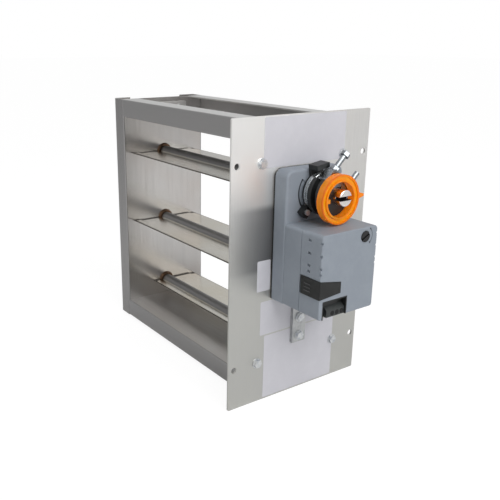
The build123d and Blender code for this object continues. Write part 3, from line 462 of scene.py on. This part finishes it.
class DAMPER_OT_frame_finish(bpy.types.Operator):
    """Rolled sheet on the four channels and on the cover plate"""
    bl_idname = "damper.frame_finish"
    bl_label = "Frame and plate finish"

    def execute(self, context):
        colours, groups = finish_values(context)
        low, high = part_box("top_channel")
        # Painted shade on the upright front and rear faces of each channel.
        faces = [zone(colours.web_shade, [band(Y_AXIS, y, half=1.9 * MM, soft=0.1 * MM)], share=0.9)
                 for y in (low.y, high.y)]
        # Painted highlight on the top lips of each channel.
        lips = [zone(colours.lip_highlight, [band(Z_AXIS, high.z, half=0.4 * MM, soft=0.1 * MM)],
                     share=0.9)]
        for name, stretch in (("right_channel", UPRIGHT), ("top_channel", ACROSS),
                              ("bottom_channel", ACROSS)):
            sheet = finished(f"Rolled sheet {name}", groups["Rolled grain"],
                             {"Colour": opaque(colours.sheet), "Tint": (0.60, 0.57, 0.54, 1),
                              "Stretch": stretch, "Streaks": 0.35, "Roughness": 0.36,
                              "Bump": 0.12}, {"Metallic": 0.8}, faces + lips)
            dress(sheet, name)
        # The far channel gets a brighter, glossier copy of the frame sheet; its brighter colour
        # is painted light.
        wall = finished("Duct wall", groups["Rolled grain"],
                        {"Colour": opaque(colours.wall), "Tint": (0.62, 0.565, 0.53, 1),
                         "Stretch": UPRIGHT, "Streaks": 0.45, "Roughness": 0.22, "Bump": 0.12},
                        {"Metallic": 0.95}, faces + lips)
        dress(wall, "left_channel")
        low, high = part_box("actuator_plate")
        middle = (low.z + high.z) / 2
        # Painted highlight over the plate's upper front corner.
        highlight_corner = [band(Z_AXIS, high.z, half=50 * MM, soft=60 * MM),
                       band(Y_AXIS, low.y, half=60 * MM, soft=60 * MM)]
        # Painted shade over the plate's lower part.
        lower_shade = [band(Z_AXIS, low.z, half=110 * MM, soft=150 * MM)]
        # Painted dark reflection of the actuator on the plate beside it.
        actuator_reflection = [band(Z_AXIS, middle + 29 * MM, half=29 * MM, soft=9 * MM),
                           band(Y_AXIS, -8 * MM, half=26 * MM, soft=66 * MM)]
        plate = finished("Plate sheet", groups["Rolled grain"],
                         {"Colour": opaque(colours.plate), "Tint": (0.76, 0.74, 0.71, 1),
                          "Stretch": UPRIGHT, "Streaks": 0.35, "Roughness": 0.38, "Bump": 0.08},
                         {"Metallic": 0.8},
                         [zone(colours.plate_highlight, highlight_corner, share=0.8),
                          zone(colours.plate_lower_shade, lower_shade, share=0.9),
                          zone(colours.plate_reflection, actuator_reflection, share=0.75)])
        dress(plate, "actuator_plate")
        return {"FINISHED"}


class DAMPER_OT_blade_finish(bpy.types.Operator):
    """Bright rolled sheet on the blades, plated steel on their fittings, bronze bushes"""
    bl_idname = "damper.blade_finish"
    bl_label = "Blade finish"

    def execute(self, context):
        colours, groups = finish_values(context)
        for name in ("top_blade", "middle_blade", "bottom_blade"):
            low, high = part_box(name)
            # Painted dark reflection on the half-round seat over the shaft; the seat is also
            # made rougher.
            seat_reflection = [band(Y_AXIS, 0.0, half=6.9 * MM, soft=0.5 * MM)]
            # Painted shade along the blades' front and rear edges and along both ends.
            edges = [band(axis, place, half=width * MM, soft=0.3 * MM)
                     for axis, place, width in ((Y_AXIS, low.y, 0.8), (Y_AXIS, high.y, 0.8),
                                                (X_AXIS, low.x, 2.6), (X_AXIS, high.x, 1.2))]
            blade = finished(f"Blade sheet {name}", groups["Rolled grain"],
                             {"Colour": opaque(colours.blade), "Tint": (0.66, 0.61, 0.50, 1),
                              "Stretch": ACROSS, "Streaks": 0.25, "Roughness": 0.24,
                              "Bump": 0.05}, {"Metallic": 0.95},
                             [zone(colours.seat_reflection, seat_reflection, share=0.95, gloss=0.58)]
                             + [zone(colours.edge_shade, [edge], share=0.9, gloss=0.5)
                                for edge in edges])
            dress(blade, name)
        steel = finished("Plated steel", groups["Plated bloom"],
                         {"Colour": opaque(colours.zinc), "Stain": (0.44, 0.44, 0.43, 1),
                          "Size": 120.0, "Roughness": 0.36, "Bump": 0.15}, {"Metallic": 1.0})
        bronze = finished("Oiled bronze", groups["Plated bloom"],
                          {"Colour": opaque(colours.bronze), "Stain": (0.06, 0.045, 0.032, 1),
                           "Size": 300.0, "Roughness": 0.4, "Bump": 0.3}, {"Metallic": 0.9})
        for set_name in ("top", "middle", "bottom"):
            dress(steel, *[f"{set_name}_{piece}" for piece in
                           ("blade_straps", "shaft_clip", "crank", "crank_screw", "crank_pin",
                            "shaft")])
        dress(steel, "tie_bar", "corner_rivets", "bush_clips")
        dress(bronze, "left_bushes", "right_bushes", "plate_bush")
        return {"FINISHED"}


class DAMPER_OT_actuator_finish(bpy.types.Operator):
    """Moulded skins on the actuator's housing and controls, and finishes for its inner parts"""
    bl_idname = "damper.actuator_finish"
    bl_label = "Actuator finish"

    def execute(self, context):
        colours, groups = finish_values(context)
        skin = groups["Moulded skin"]
        housing = finished("Housing plastic", skin,
                           {"Colour": opaque(colours.housing), "Roughness": 0.5, "Bump": 0.35},
                           {"Specular IOR Level": 0.4})
        black = finished("Black plastic", skin,
                         {"Colour": opaque(colours.black), "Roughness": 0.42, "Bump": 0.2,
                          "Scuff": 0.35}, {"Specular IOR Level": 0.5})
        knob = finished("Knob plastic", skin,
                        {"Colour": opaque(colours.knob), "Roughness": 0.5, "Bump": 0.2,
                         "Scuff": 0.15})
        gears = finished("Gear plastic", skin,
                         {"Colour": (0.72, 0.70, 0.62, 1), "Roughness": 0.4, "Bump": 0.1})
        board = finished("Board lacquer", skin,
                         {"Colour": (0.02, 0.10, 0.045, 1), "Roughness": 0.3, "Bump": 0.1})
        dress(housing, "motor_housing", "front_cover")
        axle = shaft_centre()
        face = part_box("gear_housing")[1].x
        groove = [band(X_AXIS, face - 1.2 * MM, half=0.9 * MM, soft=0.1 * MM),
                  band(Y_AXIS, -18.5 * MM, half=8.5 * MM, soft=0.3 * MM),
                  hoop(axle, radius=22.6 * MM, half=1.3 * MM, soft=0.5 * MM)]
        grooved = finished("Grooved housing plastic", skin,
                           {"Colour": opaque(colours.housing), "Roughness": 0.5, "Bump": 0.35},
                           {"Specular IOR Level": 0.4},
                           [zone(colours.groove, groove, share=0.95)])
        dress(grooved, "gear_housing")
        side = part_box("release_button")[0].y
        tops = [band(Y_AXIS, side, half=0.25 * MM, soft=0.05 * MM)]
        button = finished("Ribbed button plastic", skin,
                          {"Colour": opaque(colours.black), "Roughness": 0.45, "Bump": 0.2,
                           "Scuff": 0.5}, {"Specular IOR Level": 0.4},
                          [zone(colours.ribs, tops, share=0.85)])
        dress(button, "release_button")
        dress(black, "back_plate", "terminal_block", "end_stop", "stop_cam", "clamp_body")
        dress(knob, "direction_knob")
        dress(gears, "drive_sleeve", "idler_gear")
        dress(board, "circuit_board")
        return {"FINISHED"}


class DAMPER_OT_clamp_finish(bpy.types.Operator):
    """Zinc plating on the clamp, strap, screws and drive, a bright spindle, and the ring"""
    bl_idname = "damper.clamp_finish"
    bl_label = "Clamp and ring finish"

    def execute(self, context):
        colours, groups = finish_values(context)
        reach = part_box("top_shaft")[1].x
        axle = shaft_centre()
        low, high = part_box("indicator_ring")
        hub = Vector((0, 0, (low.z + high.z) / 2))
        screws = finished("Screw zinc", groups["Plated bloom"],
                          {"Colour": opaque(colours.zinc), "Stain": (0.42, 0.45, 0.50, 1),
                           "Size": 320.0, "Roughness": 0.34, "Bump": 0.1}, {"Metallic": 0.75})
        zinc = finished("Bright zinc", groups["Plated bloom"],
                        {"Colour": opaque(colours.zinc), "Stain": (0.46, 0.49, 0.50, 1),
                         "Size": 180.0, "Roughness": 0.24, "Bump": 0.1}, {"Metallic": 0.9})
        slot = [band(X_AXIS, reach - 3.2 * MM, half=3.4 * MM, soft=0.1 * MM),
                band(Y_AXIS, 0.0, half=7.4 * MM, soft=0.1 * MM),
                band(Z_AXIS, axle.z, half=2.1 * MM, soft=0.1 * MM)]
        spindle = finished("Turned spindle", groups["Plated bloom"],
                           {"Colour": opaque(colours.spindle), "Stain": (0.80, 0.77, 0.74, 1),
                            "Size": 90.0, "Roughness": 0.2, "Bump": 0.05}, {"Metallic": 1.0},
                           [zone(colours.slot, slot, share=1.0, gloss=0.6)])
        pale_hoop = [hoop(hub, radius=20.9 * MM, half=1.3 * MM, soft=0.5 * MM)]
        deep_rim = [hoop(hub, radius=24.4 * MM, half=0.5 * MM, soft=0.5 * MM),
                    band(X_AXIS, high.x, half=1.3 * MM, soft=0.6 * MM)]
        # The ring's small emission is a painted glow standing in for light passing through the
        # plastic.
        ring = finished("Orange ring", groups["Moulded skin"],
                        {"Colour": opaque(colours.orange), "Grain": 500.0, "Roughness": 0.22,
                         "Bump": 0.04, "Scuff": 0.0},
                        {"Transmission Weight": 0.35, "IOR": 1.45, "Specular IOR Level": 0.3,
                         "Emission Color": (1.0, 0.26, 0.0, 1), "Emission Strength": 0.07,
                         "Subsurface Weight": 0.2, "Subsurface Radius": (0.004, 0.0015, 0.0003)},
                        [zone(colours.ring_pale, pale_hoop, share=0.85),
                         zone(colours.ring_deep, deep_rim, share=0.7)])
        threads = finished("Zinc rod", groups["Plated bloom"],
                           {"Colour": opaque(colours.rod), "Stain": (0.17, 0.18, 0.20, 1),
                            "Size": 260.0, "Roughness": 0.26, "Bump": 0.1}, {"Metallic": 1.0})
        strap = finished("Zinc strap", groups["Plated bloom"],
                         {"Colour": opaque(colours.strap), "Stain": (0.36, 0.37, 0.38, 1),
                          "Size": 140.0, "Roughness": 0.4, "Bump": 0.1}, {"Metallic": 0.9})
        dress(threads, "u_bolt", "clamp_jaw", "clamp_nuts")
        dress(strap, "holder_strap")
        dress(screws, "holder_screws", "plate_screws", "end_stop_screw")
        dress(zinc, "clamp_disc", "drive_motor", "motor_pinion", "idler_axle")
        dress(spindle, "top_shaft")
        dress(ring, "indicator_ring")
        return {"FINISHED"}


# ---- operators: pieces ------------------------------------------------------------------------
def joined(name, points, faces, material, slot):
    """Mesh piece on the frame from whole arrays of points and faces."""
    mesh = bpy.data.meshes.new(name)
    mesh.from_pydata(points.tolist(), [], faces)
    mesh.materials.append(material)
    piece = bpy.data.objects.new(name, mesh)
    bpy.context.scene.collection.objects.link(piece)
    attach(piece, "frame")


def full_turn(steps):
    """Angles of evenly spaced points round a circle, without a repeated last one."""
    return np.linspace(0, 2 * np.pi, steps + 1)[:-1]


def prism(outline, depth_axis, low, high):
    """Closed outline O(u) in the two other axes, carried straight along one axis a:
    P(u, t) = O(u) + t a, with t from low to high, and capped at both ends."""
    count = len(outline)
    points = np.concatenate([np.insert(outline, depth_axis, depth, axis=1)
                             for depth in (low, high)])
    ring = np.arange(count)
    sides = np.stack([ring, (ring + 1) % count, (ring + 1) % count + count, ring + count], 1)
    return points, sides.tolist() + [ring[::-1].tolist(), (ring + count).tolist()]


def stack(shapes):
    """Several prisms as one set of points and faces."""
    starts = np.cumsum([0] + [len(points) for points, _ in shapes])
    faces = [[int(start) + int(corner) for corner in face]
             for start, (_, rows) in zip(starts, shapes) for face in rows]
    return np.concatenate([points for points, _ in shapes]), faces


def rounded_outline(y_span, z_span, corner):
    """Rounded rectangle about its middle, with half sizes s and t and corner radius r:
    y(u) = sign(cos u) (s - r) + r cos u and z(u) = sign(sin u) (t - r) + r sin u."""
    turn = full_turn(CORNER_STEPS)
    nudge = 1e-6                                      # keeps points off the sign's zero
    rim = []
    for span, wave in ((y_span, np.cos), (z_span, np.sin)):
        half = (span[1] - span[0]) / 2 - corner
        rim.append(sum(span) / 2 + np.sign(wave(turn + nudge)) * half + corner * wave(turn))
    return np.stack(rim, 1)


class DAMPER_OT_labels(bpy.types.Operator):
    """Blank pale labels on the cover plate"""
    bl_idname = "damper.labels"
    bl_label = "Blank labels"

    def execute(self, context):
        sizes = context.scene.damper_labels
        colours, groups = finish_values(context)
        paper = finished("Label film", groups["Moulded skin"],
                         {"Colour": opaque(colours.label), "Grain": 900.0, "Roughness": 0.45,
                          "Bump": 0.05})
        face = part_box("actuator_plate")[1].x
        for name, y_span, z_span in LABELS:
            outline = rounded_outline([value * MM for value in y_span],
                                      [value * MM for value in z_span], sizes.corner)
            joined(name, *prism(outline, 0, face, face + sizes.thickness), paper, "plate_sheet")
        return {"FINISHED"}


class DAMPER_OT_terminals(bpy.types.Operator):
    """Sloped terminal row with three mouths in the recess under the release button"""
    bl_idname = "damper.terminals"
    bl_label = "Terminal row"

    def execute(self, context):
        sizes = context.scene.damper_trim
        colours, groups = finish_values(context)
        skin = groups["Moulded skin"]
        low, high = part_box("terminal_block")
        right = high.y - sizes.row_margin
        front, back = high.x - sizes.row_setback, high.x - sizes.row_back
        foot = low.z + sizes.row_foot
        section = np.array([(back, foot), (front, foot), (front, low.z + sizes.row_shelf),
                            (back, low.z + sizes.row_top)])
        body = finished("Terminal plastic", skin,
                        {"Colour": opaque(colours.terminal), "Roughness": 0.42, "Bump": 0.2,
                         "Scuff": 0.4})
        points, faces = prism(section, 1, right - sizes.row_width, right)
        joined("terminal_row", points, [face[::-1] for face in faces], body, "black_plastic")
        # The mouths are dark discs just proud of the row: painted shadow in the terminal holes.
        turn = full_turn(MOUTH_STEPS)
        rim_y, rim_z = sizes.mouth * np.cos(turn), sizes.mouth * np.sin(turn)
        middles = [right - sizes.first - i * sizes.pitch for i in range(MOUTHS)]
        height = foot + sizes.mouth_height
        mouths = [prism(np.stack([middle + rim_y, height + rim_z], 1), 0,
                        front - sizes.mouth_sink, front + sizes.mouth_proud)
                  for middle in middles]
        dark = finished("Mouth shadow", skin,
                        {"Colour": (0.003, 0.003, 0.003, 1), "Roughness": 0.8, "Scuff": 0.0})
        joined("terminal_mouths", *stack(mouths), dark, "black_plastic")
        return {"FINISHED"}


def arc_outline(middle_y, middle_z, radius, width, sweep):
    """Outline of a printed arc, out along its inner edge and back along its outer one:
    y(u) = middle + R cos u and z(u) = middle + R sin u, with R = radius -/+ half the width."""
    turn = np.radians(np.linspace(-sweep, sweep, ARC_STEPS))
    angles = np.concatenate([turn, turn[::-1]])
    radii = np.repeat([radius - width / 2, radius + width / 2], ARC_STEPS)
    return np.stack([middle_y + radii * np.cos(angles), middle_z + radii * np.sin(angles)], 1)


class DAMPER_OT_dial_marks(bpy.types.Operator):
    """Printed arc with an arrowhead at each end beside the direction knob"""
    bl_idname = "damper.dial_marks"
    bl_label = "Dial marks"

    def execute(self, context):
        sizes = context.scene.damper_trim
        colours, groups = finish_values(context)
        low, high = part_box("direction_knob")
        middle = (low + high) / 2
        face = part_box("front_cover")[1].x
        arc = arc_outline(middle.y, middle.z, sizes.dial, sizes.line, sizes.sweep)
        heads = []
        for sign in (-1, 1):
            end = np.radians(sign * sizes.sweep)
            out = np.array([np.cos(end), np.sin(end)])
            along = sign * np.array([-np.sin(end), np.cos(end)])
            root = np.array([middle.y, middle.z]) + sizes.dial * out
            corners = np.array([root - sizes.head * out, root + sizes.head * out,
                                root + 2 * sizes.head * along])
            heads.append(corners if sign > 0 else corners[::-1])
        ink = finished("Printing ink", groups["Moulded skin"],
                       {"Colour": opaque(colours.ink), "Roughness": 0.5, "Bump": 0.0,
                        "Scuff": 0.0})
        sheets = [prism(outline, 0, face - sizes.ink_sink, face + sizes.ink)
                  for outline in (arc[::-1], *heads)]
        joined("dial_marks", *stack(sheets), ink, "black_plastic")
        return {"FINISHED"}


class DAMPER_OT_studio(bpy.types.Operator):
    """Camera, pale floor and soft lights"""
    bl_idname = "damper.studio"
    bl_label = "Studio"

    def execute(self, context):
        studio = context.scene.damper_studio
        scene = context.scene
        scene.view_settings.view_transform = "Standard"
        data = bpy.data.cameras.new("Camera")
        data.lens = studio.lens
        data.sensor_width = SENSOR_WIDTH
        data.shift_x, data.shift_y = CAMERA_SHIFT
        camera = bpy.data.objects.new("Camera", data)
        camera.location = CAMERA_PLACE
        camera.rotation_euler = Euler((radians(90 - CAMERA_TILT), radians(CAMERA_ROLL),
                                       radians(CAMERA_AZIMUTH)), "XYZ")
        scene.collection.objects.link(camera)
        scene.camera = camera
        self.make_floor(scene)
        self.make_world(scene, studio.world_level)
        aim = Vector(LIGHTS_AIM)
        for name, place, size, power in (
                ("Key light", KEY_PLACE, KEY_SIZE, studio.key_power),
                ("Fill light", FILL_PLACE, FILL_SIZE, studio.fill_power)):
            light = bpy.data.lights.new(name, "AREA")
            light.shape = "SQUARE"
            light.size = size
            light.energy = power
            lamp = bpy.data.objects.new(name, light)
            lamp.location = place
            lamp.rotation_euler = (aim - Vector(place)).to_track_quat("-Z", "Y").to_euler()
            scene.collection.objects.link(lamp)
        return {"FINISHED"}

    def make_floor(self, scene):
        """Large pale floor under the lowest corner of the part; it keeps the soft shadow."""
        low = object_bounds()[0].z - FLOOR_GAP
        mesh = bpy.data.meshes.new("floor")
        corners = ((-1, -1), (1, -1), (1, 1), (-1, 1))
        mesh.from_pydata([(FLOOR_HALF * x, FLOOR_HALF * y, low) for x, y in corners], [],
                         [(0, 1, 2, 3)])
        floor = bpy.data.objects.new("floor", mesh)
        scene.collection.objects.link(floor)
        material = bpy.data.materials.new("Pale floor")
        material.use_nodes = True
        tree = material.node_tree
        shader = tree.nodes["Principled BSDF"]
        shader.inputs["Base Color"].default_value = (0.9, 0.9, 0.9, 1)
        shader.inputs["Roughness"].default_value = 0.9
        white = add_node(tree, "ShaderNodeEmission", {},
                         {"Color": (1, 1, 1, 1), "Strength": FLOOR_GLOW})
        seen = add_node(tree, "ShaderNodeLightPath").outputs["Is Camera Ray"]
        share = math_node(tree, "MULTIPLY", seen, FLOOR_SHARE)
        mixed = add_node(tree, "ShaderNodeMixShader", {}, {0: share, 1: shader.outputs[0],
                                                           2: white.outputs[0]})
        tree.links.new(mixed.outputs[0], tree.nodes["Material Output"].inputs["Surface"])
        mesh.materials.append(material)
        floor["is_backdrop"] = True

    def make_world(self, scene, level):
        """White to the camera and to transmitted rays, brighter from one side to glossy rays,
        and a plain grey light otherwise."""
        world = bpy.data.worlds.new("Studio world")
        scene.world = world
        world.use_nodes = True
        tree = world.node_tree
        path = add_node(tree, "ShaderNodeLightPath")
        direct = math_node(tree, "MAXIMUM", path.outputs["Is Camera Ray"],
                           path.outputs["Is Transmission Ray"])
        place = add_node(tree, "ShaderNodeTexCoord").outputs["Generated"]
        facing = add_node(tree, "ShaderNodeVectorMath", {"operation": "DOT_PRODUCT"},
                          {0: place, 1: GLOW_DIRECTION}).outputs["Value"]
        glow = add_node(tree, "ShaderNodeMapRange", {"clamp": True},
                        {0: facing, 1: -GLOW_SPREAD, 2: GLOW_SPREAD, 3: GLOW_LEAST,
                         4: 1.0}).outputs[0]
        glossy = math_node(tree, "MULTIPLY", path.outputs["Is Glossy Ray"], glow)
        shown = math_node(tree, "MAXIMUM", direct, glossy)
        strength = math_node(tree, "MAXIMUM", shown, level)
        background = tree.nodes["Background"]
        background.inputs["Color"].default_value = (1, 1, 1, 1)
        tree.links.new(strength, background.inputs["Strength"])


class DAMPER_PT_panel(bpy.types.Panel):
    """Lists the operators and the values that they use"""
    bl_label = "Volume control damper"
    bl_idname = "DAMPER_PT_panel"
    bl_space_type = "VIEW_3D"
    bl_region_type = "UI"
    bl_category = "Damper"

    def draw(self, context):
        for group in (context.scene.damper_finishes, context.scene.damper_labels,
                      context.scene.damper_trim, context.scene.damper_studio):
            box = self.layout.box()
            for key in group.__annotations__:
                box.prop(group, key)
        for operator in OPERATORS:
            self.layout.operator(operator.bl_idname)


OPERATORS = (DAMPER_OT_frame_finish, DAMPER_OT_blade_finish, DAMPER_OT_actuator_finish,
             DAMPER_OT_clamp_finish, DAMPER_OT_labels, DAMPER_OT_terminals,
             DAMPER_OT_dial_marks, DAMPER_OT_studio)
GROUPS = (("damper_finishes", DamperFinishes), ("damper_labels", DamperLabels),
          ("damper_trim", DamperTrim), ("damper_studio", DamperStudio))


def register():
    for name, group in GROUPS:
        bpy.utils.register_class(group)
        setattr(bpy.types.Scene, name, PointerProperty(type=group))
    for item in (*OPERATORS, DAMPER_PT_panel):
        bpy.utils.register_class(item)


def unregister():
    for item in reversed((*OPERATORS, DAMPER_PT_panel)):
        bpy.utils.unregister_class(item)
    for name, group in reversed(GROUPS):
        delattr(bpy.types.Scene, name)
        bpy.utils.unregister_class(group)


def main():
    """Clears the default scene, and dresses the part."""
    register()
    for item in list(bpy.data.objects):
        if item.name in ("Cube", "Light", "Camera"):
            bpy.data.objects.remove(item)
    for operator in OPERATORS:
        getattr(bpy.ops.damper, operator.bl_idname.split(".")[1])()
    bpy.context.view_layer.update()


if __name__ == "__main__":
    main()
